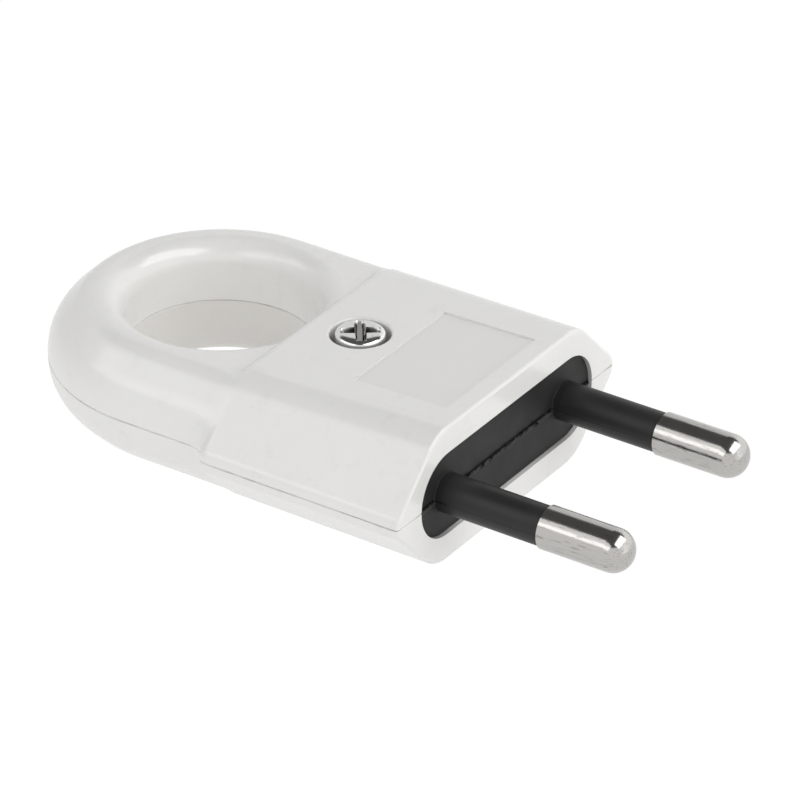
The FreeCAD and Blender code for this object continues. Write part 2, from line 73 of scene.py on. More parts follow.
def sums(tree, operation, first, second=0.0):
    """One arithmetic step on values."""
    return node(tree, "Math", {0: first, 1: second}, operation=operation).outputs[0]


def times(tree, first, second):
    """The product of two values."""
    return sums(tree, "MULTIPLY", first, second)


def between(tree, given, low, high, out_low=0.0, out_high=1.0, smooth=False):
    """Map a value from one range to another and hold it at the ends."""
    kind = "SMOOTHSTEP" if smooth else "LINEAR"
    values = {"Value": given, "From Min": low, "From Max": high, "To Min": out_low, "To Max": out_high}
    return node(tree, "MapRange", values, interpolation_type=kind).outputs["Result"]


def tint(tree, share, first, second):
    """Blend two colours by a mask."""
    return node(tree, "Mix", {0: share, 6: first, 7: second}, data_type="RGBA").outputs[2]


def noise(tree, place, scale, detail=2.0, rough=0.5):
    """Smooth noise of the surface's own coordinates, from 0 to 1."""
    values = {"Vector": place, "Scale": scale, "Detail": detail, "Roughness": rough}
    return node(tree, "TexNoise", values).outputs["Fac"]


def new_effect(name, inputs, outputs):
    """An empty shader group with a place, number inputs and value outputs."""
    tree = bpy.data.node_groups.new(name, "ShaderNodeTree")
    tree.interface.new_socket("Place", in_out="INPUT", socket_type="NodeSocketVector")
    for label in inputs:
        tree.interface.new_socket(label, in_out="INPUT", socket_type="NodeSocketFloat")
    for label in outputs:
        tree.interface.new_socket(label, in_out="OUTPUT", socket_type="NodeSocketFloat")
    return tree, tree.nodes.new("NodeGroupInput").outputs, tree.nodes.new("NodeGroupOutput").inputs


def use_effect(tree, effect, place, values):
    """Put a group into a material with its own values."""
    return node(tree, "Group", {"Place": place, **values}, node_tree=effect).outputs


# Effects that the finishes share

def parting_seam():
    """The line where two mould halves meet: a band about z = 0 whose width wanders along it."""
    tree, given, out = new_effect("parting_seam", ["Half width", "Raggedness"], ["Line"])
    height = node(tree, "SeparateXYZ", {0: given["Place"]}).outputs["Z"]
    wide = noise(tree, given["Place"], scale=330.0, detail=3.0)
    fine = noise(tree, given["Place"], scale=2600.0, detail=2.0)
    drift = times(tree, sums(tree, "SUBTRACT", fine, 0.5), given["Raggedness"])
    shifted = sums(tree, "ABSOLUTE", sums(tree, "ADD", height, drift))
    swell = between(tree, wide, low=0.35, high=0.68, out_low=0.45, out_high=1.6)
    across = sums(tree, "DIVIDE", shifted, times(tree, given["Half width"], swell))
    band = between(tree, across, low=0.55, high=1.15, out_low=1.0, out_high=0.0, smooth=True)
    tree.links.new(band, out["Line"])
    return tree


def stray_specks():
    """Small dark inclusions: the cores of a few cells of a random cell pattern."""
    tree, given, out = new_effect("stray_specks", ["Scale", "Size", "Spared"], ["Speck"])
    cells = node(tree, "TexVoronoi", {"Vector": given["Place"], "Scale": given["Scale"]})
    chance = node(tree, "SeparateColor", {0: cells.outputs["Color"]}).outputs[0]
    chosen = sums(tree, "GREATER_THAN", chance, given["Spared"])
    core = sums(tree, "DIVIDE", cells.outputs["Distance"], given["Size"])
    spot = between(tree, core, low=0.4, high=1.0, out_low=1.0, out_high=0.0, smooth=True)
    tree.links.new(times(tree, spot, chosen), out["Speck"])
    return tree


def moulded_skin():
    """The skin of moulded plastic: broad cloudy sink marks, and the fine peel of the tool's surface."""
    tree, given, out = new_effect("moulded_skin", ["Cloud scale", "Peel scale"], ["Cloud", "Peel"])
    cloud = noise(tree, given["Place"], given["Cloud scale"], detail=3.0, rough=0.55)
    peel = noise(tree, given["Place"], given["Peel scale"], detail=2.0, rough=0.6)
    tree.links.new(cloud, out["Cloud"])
    tree.links.new(peel, out["Peel"])
    return tree


def drawn_scratches():
    """Fine marks along the place's second axis: noise stretched along it, kept only where it peaks."""
    tree, given, out = new_effect("drawn_scratches", ["Scale", "Stretch"], ["Scratch", "Grain"])
    factors = node(tree, "CombineXYZ", {0: 1.0, 1: given["Stretch"], 2: 1.0}).outputs[0]
    drawn = node(tree, "VectorMath", {0: given["Place"], 1: factors}, operation="MULTIPLY").outputs[0]
    grain = noise(tree, drawn, given["Scale"], detail=4.0, rough=0.65)
    tree.links.new(between(tree, grain, low=0.535, high=0.69, smooth=True), out["Scratch"])
    tree.links.new(grain, out["Grain"])
    return tree


SEAM = parting_seam()
SPECKS = stray_specks()
SKIN = moulded_skin()
SCRATCHES = drawn_scratches()


# Finishes

def new_material(name):
    """A material with one Principled shader, and the object's own coordinates."""
    material = bpy.data.materials.new(name)
    material.use_nodes = True
    tree = material.node_tree
    shader = tree.nodes["Principled BSDF"]
    place = node(tree, "TexCoord").outputs["Object"]
    return material, tree, shader, place


def feed(tree, shader, colour, roughness, height, strength, distance):
    """Link colour, roughness and a bump height to the shader."""
    bump = node(tree, "Bump", {"Height": height, "Strength": strength, "Distance": distance})
    tree.links.new(colour, shader.inputs["Base Color"])
    tree.links.new(roughness, shader.inputs["Roughness"])
    tree.links.new(bump.outputs["Normal"], shader.inputs["Normal"])


def moulded_relief(tree, skin, seam, cloud, groove):
    """The bump height of moulded plastic: its peel, plus its clouds, less the groove along its seam."""
    height = sums(tree, "ADD", skin["Peel"], times(tree, skin["Cloud"], cloud))
    return sums(tree, "SUBTRACT", height, times(tree, seam, groove))


CLOUD_LOW = 0.3
CLOUD_HIGH = 0.7
WHITE_DEEP = (0.736, 0.729, 0.711, 1)
WHITE_PALE = (0.780, 0.775, 0.759, 1)
WHITE_SPECK = (0.26, 0.23, 0.19, 1)
WHITE_SPECK_SHARE = 0.55
WHITE_SMUDGE = (0.42, 0.40, 0.36, 1)
PANEL_COLOUR = (0.70, 0.692, 0.675, 1)
PANEL_SHARE = 0.7
PANEL_EXTRA_ROUGHNESS = 0.02
PANEL_MIDDLE = 6.675
PANEL_HALF_LENGTH = 4.7
PANEL_HALF_WIDTH = 7.1
PANEL_EDGE = 0.15
PANEL_LOWEST = 5.0
# Painted shade: a warmer, darker tint on the lower wall of the finger hole
HOLE_SHADE_COLOUR = (0.66, 0.635, 0.595, 1)
HOLE_SHADE_SHARE = 0.5
HOLE_SHADE_FULL = 8.8
HOLE_SHADE_NONE = 9.8
HOLE_MIDDLE = 30.45
DIRT_COLOUR = (0.27, 0.24, 0.19, 1)
DIRT_FRONT = 14
DIRT_REAR = 23
DIRT_FRONT_SHARE = 1.4
DIRT_REAR_SHARE = 0.85


def top_panel(tree, axes):
    """A mask of the shallow panel on the top side: 1 within its half width of x = 0 and its half length of
    its middle, and 0 outside it and lower down."""
    across = sums(tree, "ABSOLUTE", axes["X"])
    along = sums(tree, "ABSOLUTE", sums(tree, "SUBTRACT", axes["Y"], PANEL_MIDDLE * MM))
    inside = times(
        tree,
        between(tree, across, PANEL_HALF_WIDTH * MM, (PANEL_HALF_WIDTH + PANEL_EDGE) * MM, 1.0, 0.0),
        between(tree, along, PANEL_HALF_LENGTH * MM, (PANEL_HALF_LENGTH + PANEL_EDGE) * MM, 1.0, 0.0),
    )
    return times(tree, inside, sums(tree, "GREATER_THAN", axes["Z"], PANEL_LOWEST * MM))


def hole_painted_shade(tree, axes):
    """A mask of painted shade on the lower half of the finger hole: it fades with the distance from the
    hole's axis, the root of the sum of two squares, and ends at the parting plane."""
    along = sums(tree, "SUBTRACT", axes["Y"], HOLE_MIDDLE * MM)
    squares = sums(tree, "ADD", times(tree, axes["X"], axes["X"]), times(tree, along, along))
    distance = sums(tree, "SQRT", squares)
    near = between(tree, distance, HOLE_SHADE_FULL * MM, HOLE_SHADE_NONE * MM, HOLE_SHADE_SHARE, 0.0, smooth=True)
    return times(tree, near, between(tree, axes["Z"], low=-0.02 * MM, high=0.0, out_low=1.0, out_high=0.0))


def white_moulding():
    """Glossy white housing plastic with a dirty parting line, a greyer panel on its top, stray specks,
    faint smudges and painted shade on the lower wall of the finger hole."""
    material, tree, shader, place = new_material("white_moulding")
    shader.inputs["IOR"].default_value = 1.72
    axes = node(tree, "SeparateXYZ", {0: place}).outputs
    seam = use_effect(tree, SEAM, place, {"Half width": 0.075 * MM, "Raggedness": 0.06 * MM})["Line"]
    specks = use_effect(tree, SPECKS, place, {"Scale": 420.0, "Size": 0.055, "Spared": 0.90})["Speck"]
    skin = use_effect(tree, SKIN, place, {"Cloud scale": 95.0, "Peel scale": 900.0})
    panel = top_panel(tree, axes)
    blots = noise(tree, place, scale=520.0, detail=6.0, rough=0.72)
    smudge = between(tree, blots, low=0.55, high=0.78, out_low=0.0, out_high=0.16)
    patches = noise(tree, place, scale=210.0, detail=3.0, rough=0.7)
    dirt = between(tree, patches, low=0.42, high=0.68, out_low=0.20, out_high=0.62)
    fade = between(tree, axes["Y"], DIRT_FRONT * MM, DIRT_REAR * MM, DIRT_FRONT_SHARE, DIRT_REAR_SHARE)

    colour = tint(tree, skin["Cloud"], WHITE_DEEP, WHITE_PALE)
    colour = tint(tree, times(tree, specks, WHITE_SPECK_SHARE), colour, WHITE_SPECK)
    # painted shade on the lower wall of the finger hole
    colour = tint(tree, hole_painted_shade(tree, axes), colour, HOLE_SHADE_COLOUR)
    colour = tint(tree, smudge, colour, WHITE_SMUDGE)
    colour = tint(tree, times(tree, panel, PANEL_SHARE), colour, PANEL_COLOUR)
    colour = tint(tree, times(tree, seam, times(tree, dirt, fade)), colour, DIRT_COLOUR)
    roughness = between(tree, skin["Cloud"], CLOUD_LOW, CLOUD_HIGH, out_low=0.155, out_high=0.20)
    roughness = sums(tree, "ADD", roughness, times(tree, panel, PANEL_EXTRA_ROUGHNESS))
    height = moulded_relief(tree, skin, seam, cloud=3.0, groove=2.0)
    feed(tree, shader, colour, roughness, height, strength=0.25, distance=0.02 * MM)
    return material


BLACK_DEEP = (0.015, 0.015, 0.0152, 1)
BLACK_PALE = (0.024, 0.0238, 0.0235, 1)
BLACK_SPECK = (0.06, 0.058, 0.055, 1)
BLACK_SPECK_SHARE = 0.5
BLACK_FACE = (0.008, 0.0079, 0.0077, 1)
BLACK_SEAM = (0.002, 0.002, 0.002, 1)
FACE_SHARE = 0.5
FACE_EXTRA_ROUGHNESS = 0.14


def black_moulding():
    """Satin black plastic with a ragged seam and cloudy flow marks, darker and duller on the insert's face
    than along the sleeves."""
    material, tree, shader, place = new_material("black_moulding")
    shader.inputs["IOR"].default_value = 1.5
    shader.inputs["Specular IOR Level"].default_value = 0.3
    along = node(tree, "SeparateXYZ", {0: place}).outputs["Y"]
    seam = use_effect(tree, SEAM, place, {"Half width": 0.075 * MM, "Raggedness": 0.13 * MM})["Line"]
    seam = times(tree, seam, between(tree, along, low=-1.2 * MM, high=-0.4 * MM, out_low=0.35, out_high=1.0))
    specks = use_effect(tree, SPECKS, place, {"Scale": 650.0, "Size": 0.08, "Spared": 0.86})["Speck"]
    skin = use_effect(tree, SKIN, place, {"Cloud scale": 260.0, "Peel scale": 2200.0})
    face = between(tree, along, low=-0.5 * MM, high=-0.36 * MM)

    colour = tint(tree, skin["Cloud"], BLACK_DEEP, BLACK_PALE)
    colour = tint(tree, times(tree, specks, BLACK_SPECK_SHARE), colour, BLACK_SPECK)
    colour = tint(tree, times(tree, face, FACE_SHARE), colour, BLACK_FACE)
    colour = tint(tree, seam, colour, BLACK_SEAM)
    roughness = between(tree, skin["Cloud"], CLOUD_LOW, CLOUD_HIGH, out_low=0.36, out_high=0.48)
    roughness = sums(tree, "ADD", roughness, times(tree, face, FACE_EXTRA_ROUGHNESS))
    height = moulded_relief(tree, skin, seam, cloud=2.0, groove=3.0)
    feed(tree, shader, colour, roughness, height, strength=0.3, distance=0.02 * MM)
    return material


# Painted shade: the dark grey tint deep in the screw's cross recess
RECESS_SHADE_COLOUR = (0.22, 0.216, 0.21, 1)
PIT_SHARE = 0.6
PEEL_SHARE = 0.35
WORN_EXTRA_ROUGHNESS = 0.10


def plated_metal(name, bright, dull, smooth, rough, scale, stretch, wear):
    """Plated metal, metallic all over, with drawn grain, scratches and pits that roughen and dull it, and
    painted shade inside a recess."""
    material, tree, shader, place = new_material(name)
    shader.inputs["Metallic"].default_value = 1.0
    marks = use_effect(tree, SCRATCHES, place, {"Scale": scale, "Stretch": stretch})
    pits = use_effect(tree, SPECKS, place, {"Scale": 2600.0, "Size": 0.24, "Spared": 0.88})["Speck"]
    skin = use_effect(tree, SKIN, place, {"Cloud scale": 420.0, "Peel scale": 5200.0})
    worn = sums(tree, "MAXIMUM", marks["Scratch"], times(tree, pits, PIT_SHARE))
    recess = node(tree, "Attribute", attribute_name="recess").outputs["Fac"]
    # painted shade, full a little below the recess's mouth
    recess_shade = between(tree, recess, low=0.0, high=0.10, out_low=0.0, out_high=0.9)

    colour = tint(tree, times(tree, worn, wear), bright, dull)
    # painted shade inside the cross recess
    colour = tint(tree, recess_shade, colour, RECESS_SHADE_COLOUR)
    roughness = between(tree, skin["Cloud"], CLOUD_LOW, CLOUD_HIGH, smooth, rough)
    roughness = sums(tree, "ADD", roughness, times(tree, worn, WORN_EXTRA_ROUGHNESS))
    height = sums(tree, "ADD", marks["Grain"], times(tree, skin["Peel"], PEEL_SHARE))
    height = sums(tree, "SUBTRACT", height, times(tree, pits, PIT_SHARE))
    feed(tree, shader, colour, roughness, height, strength=wear * 0.5, distance=0.012 * MM)
    return material


WHITE = white_moulding()
BLACK = black_moulding()
NICKEL = plated_metal(
    "nickel_plate", bright=(0.53, 0.516, 0.497, 1), dull=(0.25, 0.236, 0.218, 1),
    smooth=0.11, rough=0.17, scale=6200.0, stretch=0.10, wear=0.75,
)
ZINC = plated_metal(
    "zinc_plate", bright=(0.78, 0.78, 0.77, 1), dull=(0.50, 0.50, 0.49, 1),
    smooth=0.07, rough=0.13, scale=3000.0, stretch=1.0, wear=0.35,
)
FINISHES = {"white_plastic": WHITE, "black_plastic": BLACK, "nickel": NICKEL, "zinc_steel": ZINC}
NODE_FINISHES = {
    "upper_shell": WHITE, "lower_shell": WHITE,
    "pin_carrier": BLACK,
    "left_pin": NICKEL, "right_pin": NICKEL,
    "left_terminal_screw": ZINC, "right_terminal_screw": ZINC,
    "housing_screw": ZINC, "housing_nut": ZINC,
}
for name, finish in NODE_FINISHES.items():
    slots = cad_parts[name].data.materials
    slots.clear()
    slots.append(finish)


# Pieces worked out as surfaces, in mm

def add_piece(name, points, faces, slot_name):
    """A smooth mesh piece in the part's frame from points in mm, riding on the one body."""
    mesh = bpy.data.meshes.new(name)
    mesh.from_pydata((points.reshape(-1, 3) * MM).tolist(), [], faces)
    mesh.polygons.foreach_set("use_smooth", np.ones(len(mesh.polygons), dtype=bool))
    mesh.materials.append(FINISHES[slot_name])
    piece = bpy.data.objects.new(name, mesh)
    scene.collection.objects.link(piece)
    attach(piece, "root")
    return piece


def strips(index):
    """Quads between neighbouring rows of a grid of point numbers that is closed along each row."""
    onward = np.roll(index, -1, axis=1)
    return np.stack([index[:-1], index[1:], onward[1:], onward[:-1]], axis=-1).reshape(-1, 4).tolist()


def loop_faces(index):
    """The strips of a grid of point numbers that is closed both ways, as a ring is."""
    return strips(np.concatenate([index, index[:1]]))


def bar_faces(index):
    """The strips of a closed profile carried along a path, and a face over each end."""
    return strips(index) + [index[0].tolist(), index[-1][::-1].tolist()]


def fan(pole, ring):
    """Triangles from a pole to a closed ring of point numbers."""
    return np.stack([np.full(len(ring), pole), ring, np.roll(ring, -1)], axis=-1).tolist()


def sharpen(piece, degrees):
    """Keep edges crisp where two faces meet at more than this angle."""
    piece.data.set_sharp_from_angle(angle=math.radians(degrees))


def ramp(given, full, none):
    """1 up to the first distance, 0 from the second, and a straight slope between them."""
    return np.clip((none - given) / (none - full), 0.0, 1.0)


SCREW_PLACE = 15.6
HEAD_RADIUS = 2.3
HEAD_CROWN = 6.6445
HEAD_ROUND = 0.95
HEAD_POWER = 5
HEAD_TOP_SHARE = 0.9
HEAD_SEAT = 4.2445
CORNER = 0.12
CORNER_MIDDLE = 0.03
SHANK_RADIUS = 1.25
SHANK_FOOT = -6.1045
THREAD_PITCH = 0.45
THREAD_DEPTH = 0.24
THREAD_TOP = 1.0
THREAD_TOP_FADE = 0.6
THREAD_FULL_ABOVE_FOOT = 0.5
THREAD_ENDS_ABOVE_FOOT = 0.2
PLAIN_ABOVE_THREAD = 0.4
RINGS_PER_PITCH = 8
HEAD_EDGE_RINGS = 26
POINT_STEP = 0.05
POINT_BEVEL = 0.25
POINT_CORE = 0.4
RECESS_TURN = math.radians(36.6)
RECESS_REACH = 0.88
RECESS_FLOOR = 0.12
RECESS_MOUTH = 0.26
RECESS_DEPTH = 2.3
RECESS_CORE = 0.2
FLOOR_KNOTS = 5
WALL_KNOTS = 4
ARM_KNOTS = 17
EDGE_KNOTS = 5


def recess_arm(along, across):
    """The depth of one arm of the cross: a ramp down towards the middle times a ramp down from its mouth."""
    return RECESS_DEPTH * ramp(along, RECESS_CORE, RECESS_REACH) * ramp(across, RECESS_FLOOR, RECESS_MOUTH)


def head_top(knots):
    """A square grid (u, v) drawn onto a disc, x = R u sqrt(1 - v^2 / 2) and y the same with u and v changed
    over. Its height falls from the crown as the head's rounded profile does, less the cross recess: two
    arms that follow grid lines and deepen to the middle. The recess's depth comes with each point."""
    u, v = np.meshgrid(knots, knots, indexing="ij")
    radius = HEAD_RADIUS * HEAD_TOP_SHARE
    x = radius * u * np.sqrt(1 - v ** 2 / 2)
    y = radius * v * np.sqrt(1 - u ** 2 / 2)
    share = np.hypot(x, y) / HEAD_RADIUS
    cap = HEAD_CROWN - HEAD_ROUND * (1 - (1 - share ** HEAD_POWER) ** (1 / HEAD_POWER))
    recess = np.maximum(recess_arm(np.abs(u), np.abs(v)), recess_arm(np.abs(v), np.abs(u)))
    return np.stack([x, y, cap - recess], axis=-1).reshape(-1, 3), recess.ravel()


def screw_profile():
    """The screw's radius and height from the head's edge to its point. The edge's radius is
    R sin(lean)^(2 / n) and its height the same of the cosine, n being the crown's power. Under it come the
    seat, the shank and the point."""
    lean = np.linspace(math.asin(HEAD_TOP_SHARE ** (HEAD_POWER / 2)), math.pi / 2, HEAD_EDGE_RINGS)[1:]
    drop = HEAD_ROUND * (1 - np.maximum(np.cos(lean), 0) ** (2 / HEAD_POWER))
    edge = np.stack([HEAD_RADIUS * np.sin(lean) ** (2 / HEAD_POWER), HEAD_CROWN - drop], axis=1)
    under = np.array([
        (HEAD_RADIUS, HEAD_SEAT + CORNER),
        (HEAD_RADIUS - CORNER_MIDDLE, HEAD_SEAT + CORNER_MIDDLE),
        (HEAD_RADIUS - CORNER, HEAD_SEAT),
        (SHANK_RADIUS + CORNER, HEAD_SEAT),
        (SHANK_RADIUS + CORNER_MIDDLE, HEAD_SEAT - CORNER_MIDDLE),
        (SHANK_RADIUS, HEAD_SEAT - CORNER),
    ])
    thread_foot = SHANK_FOOT + THREAD_ENDS_ABOVE_FOOT
    turns = np.arange(THREAD_TOP, thread_foot, -THREAD_PITCH / RINGS_PER_PITCH)
    heights = np.concatenate([[THREAD_TOP + PLAIN_ABOVE_THREAD], turns])
    shank = np.stack([np.full(len(heights), SHANK_RADIUS), heights], axis=1)
    point = np.array([
        (SHANK_RADIUS - POINT_STEP, SHANK_FOOT + CORNER),
        (SHANK_RADIUS - POINT_BEVEL, SHANK_FOOT),
        (POINT_CORE, SHANK_FOOT),
    ])
    return np.concatenate([edge, under, shank, point])


def cross_screw():
    """The housing screw: a rounded head with a cross recess, and the profile below it as rings. A ring's
    radius falls by a triangle wave of height / pitch - angle / turn where the thread runs."""
    half = np.concatenate([
        np.linspace(0, RECESS_FLOOR, FLOOR_KNOTS),
        np.linspace(RECESS_FLOOR, RECESS_MOUTH, WALL_KNOTS)[1:],
        np.linspace(RECESS_MOUTH, RECESS_REACH, ARM_KNOTS)[1:],
        np.linspace(RECESS_REACH, 1, EDGE_KNOTS)[1:],
    ])
    knots = np.concatenate([-half[:0:-1], half])
    top, recess = head_top(knots)
    index = np.arange(len(top)).reshape(len(knots), len(knots))
    quads = [index[:-1, :-1], index[1:, :-1], index[1:, 1:], index[:-1, 1:]]
    top_faces = np.stack(quads, axis=-1).reshape(-1, 4).tolist()
    rim = np.concatenate([index[:-1, 0], index[-1, :-1], index[:0:-1, -1], index[0, :0:-1]])
    angle = np.arctan2(top[rim, 1], top[rim, 0])

    profile = screw_profile()
    radius = np.repeat(profile[:, :1], len(angle), axis=1)
    height = np.repeat(profile[:, 1:], len(angle), axis=1)
    wave = np.abs(((height / THREAD_PITCH - angle / FULL_TURN) % 1.0) * 2 - 1)
    run = ramp(height, THREAD_TOP - THREAD_TOP_FADE, THREAD_TOP)
    run *= ramp(-height, -SHANK_FOOT - THREAD_FULL_ABOVE_FOOT, -SHANK_FOOT - THREAD_ENDS_ABOVE_FOOT)
    radius = radius - THREAD_DEPTH * run * wave * (radius <= SHANK_RADIUS)
    rings = np.stack([radius * np.cos(angle), radius * np.sin(angle), height], axis=-1)

    ring_index = len(top) + np.arange(radius.size).reshape(radius.shape)
    pole = len(top) + ring_index.size
    faces = top_faces + strips(np.concatenate([rim[None, :], ring_index])) + fan(pole, ring_index[-1][::-1])
    points = np.concatenate([top, rings.reshape(-1, 3), [(0.0, 0.0, SHANK_FOOT)]])
    cosine, sine = math.cos(RECESS_TURN), math.sin(RECESS_TURN)
    x = points[:, 0] * cosine - points[:, 1] * sine
    y = points[:, 0] * sine + points[:, 1] * cosine + SCREW_PLACE
    piece = add_piece("cross_recess_screw", np.stack([x, y, points[:, 2]], axis=1), faces, "zinc_steel")
    # The recess's depth at each point, which sets the painted shade in the recess
    depth = np.zeros(len(points))
    depth[:len(recess)] = recess / RECESS_DEPTH
    piece.data.attributes.new("recess", "FLOAT", "POINT").data.foreach_set("value", depth)
    sharpen(piece, degrees=35.0)
    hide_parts("housing_screw")


NUT_HALF_FLATS = 2.5
NUT_BORE = 1.3
NUT_TOP = -3.8045
NUT_FOOT = -5.8045
NUT_FACE_RADIUS = 2.42
NUT_BEVEL = 0.3
NUT_BEVEL_SLOPE = 1.7
NUT_BORE_BEVEL = 0.2
NUT_SPOKES = 192
NUT_BEVEL_RINGS = 9


def bevelled_nut():
    """The hexagon nut as a closed loop of rings: bore, faces and flats. A flat's distance from the axis at
    an angle is half the width over flats / cos(angle from the flat's middle), held inside a cone that
    bevels both faces."""
    angle = np.linspace(0, FULL_TURN, NUT_SPOKES, endpoint=False)
    from_middle = (angle + math.pi / 6) % (math.pi / 3) - math.pi / 6
    hexagon = NUT_HALF_FLATS / np.cos(from_middle)
    bevel = np.linspace(0, NUT_BEVEL, NUT_BEVEL_RINGS)
    flats = np.concatenate([NUT_TOP - bevel, NUT_FOOT + bevel[::-1]])
    nearest_face = np.minimum(NUT_TOP - flats, flats - NUT_FOOT)
    outer = np.minimum(hexagon[None, :], NUT_FACE_RADIUS + nearest_face[:, None] * NUT_BEVEL_SLOPE)
    bore = np.array([
        (NUT_BORE + NUT_BORE_BEVEL, NUT_FOOT), (NUT_BORE, NUT_FOOT + NUT_BORE_BEVEL),
        (NUT_BORE, NUT_TOP - NUT_BORE_BEVEL), (NUT_BORE + NUT_BORE_BEVEL, NUT_TOP),
    ])
    radius = np.concatenate([outer, np.repeat(bore[:, :1], len(angle), axis=1)])
    height = np.concatenate([flats, bore[:, 1]])[:, None]
    x = radius * np.cos(angle)
    y = radius * np.sin(angle) + SCREW_PLACE
    rings = np.stack([x, y, np.broadcast_to(height, radius.shape)], axis=-1)
    faces = loop_faces(np.arange(radius.size).reshape(radius.shape))
    piece = add_piece("bevelled_nut", rings, faces, "zinc_steel")
    sharpen(piece, degrees=25.0)
    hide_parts("housing_nut")


BODY_HALF_WIDTH = 17.5
BODY_LAND = 0.7
BODY_LAND_ROUND = 1.4
BODY_RIDGE_ROUND = 4.4
BODY_REAR = 21.3
BODY_REAR_ROUND = 1.3
BODY_REAR_TOP = 6.253
ARM_HALF_WIDTH = 15.65
ARM_SIDE_ROUND = 5.3
ARM_RIDGE_ROUND = 2.8
ARM_BELOW_PARTING = -2.0
ARM_TOPS = {"upper": 5.70, "lower": 5.56}
ARM_LANDS = {"upper": 2.3, "lower": 2.4}
PARTING_BEVEL = 0.08
ARC_STEPS = 17
SLOPE_STEPS = 26
FLAT_STEPS = 12
SHOULDER_INNER = 8.9
SHOULDER_RADII = [1.3, 1.5, 4.0, 14.0, 12.0, 0.5, 0.2]
SHOULDER_LOW_PLACES = [0.0, 0.9, 2.2]
SHOULDER_SLOPE_SHARE = 0.6
SHOULDER_LEAD = 0.35
SHOULDER_SINK = 0.004
SHOULDER_FOOT = 0.2
SHOULDER_WALL = 0.6
SHOULDER_LEAD_STEPS = 4
SHOULDER_ARC_STEPS = 15
TINY_TURN = 1e-6
TINY_AREA = 1e-9


def section_outline(width, land, top, side_round, ridge_round):
    """The right half of a section from the parting plane up, and the angle of its normal: a land, an arc, a
    slope at half a right angle, another arc and the flat top. An arc's point is its centre plus its radius
    times (cos, sin) of the angle."""
    low_turn = np.linspace(0, math.pi / 4, ARC_STEPS)
    high_turn = low_turn + math.pi / 4
    reach = math.tan(math.pi / 8)
    ridge = width + land - top - ridge_round * reach
    low = np.stack([np.cos(low_turn), np.sin(low_turn)], axis=1) * side_round
    low += (width - side_round, land - side_round * reach)
    high = np.stack([np.cos(high_turn), np.sin(high_turn)], axis=1) * ridge_round
    high += (ridge, top - ridge_round)
    slope = np.linspace(low[-1], high[0], SLOPE_STEPS)[1:-1]
    flat = np.linspace(high[-1], (SHOULDER_INNER, top), FLAT_STEPS)[1:]
    points = np.concatenate([[(width, PARTING_BEVEL)], low, slope, high, flat])
    slope_turn = np.full(len(slope), math.pi / 4)
    flat_turn = np.full(len(flat), math.pi / 2)
    return points, np.concatenate([[0.0], low_turn, slope_turn, high_turn, flat_turn])


def gaps_to(points, inward, line):
    """How far each point is from a line of points along its own direction: the crossing of a ray with each
    piece of the line, as the ratio of two cross products, and the nearest crossing ahead."""
    start, run = line[:-1], np.diff(line, axis=0)
    offset = start[None] - points[:, None]
    across = inward[:, None, 0] * run[None, :, 1] - inward[:, None, 1] * run[None, :, 0]
    across = np.where(np.abs(across) < TINY_AREA, TINY_AREA, across)
    ahead = (offset[..., 0] * run[None, :, 1] - offset[..., 1] * run[None, :, 0]) / across
    share = (offset[..., 0] * inward[:, None, 1] - offset[..., 1] * inward[:, None, 0]) / across
    hit = (share >= 0) & (share <= 1) & (ahead >= 0)
    return np.where(hit, ahead, np.inf).min(axis=1)


def shoulder_radius(body, turn):
    """The hollow's radius along the body's section: straight steps between values at places along its
    length, the last of them at the ends of the slope and of the ridge's round."""
    length = np.concatenate([[0.0], np.cumsum(np.hypot(*np.diff(body, axis=0).T))])
    ridge_start = length[turn < math.pi / 4 + TINY_TURN].max()
    ridge_end = length[turn < math.pi / 2 - TINY_TURN].max()
    high_places = [ridge_start * SHOULDER_SLOPE_SHARE, ridge_start, ridge_end, length[-1]]
    return np.interp(length, SHOULDER_LOW_PLACES + high_places, SHOULDER_RADII)


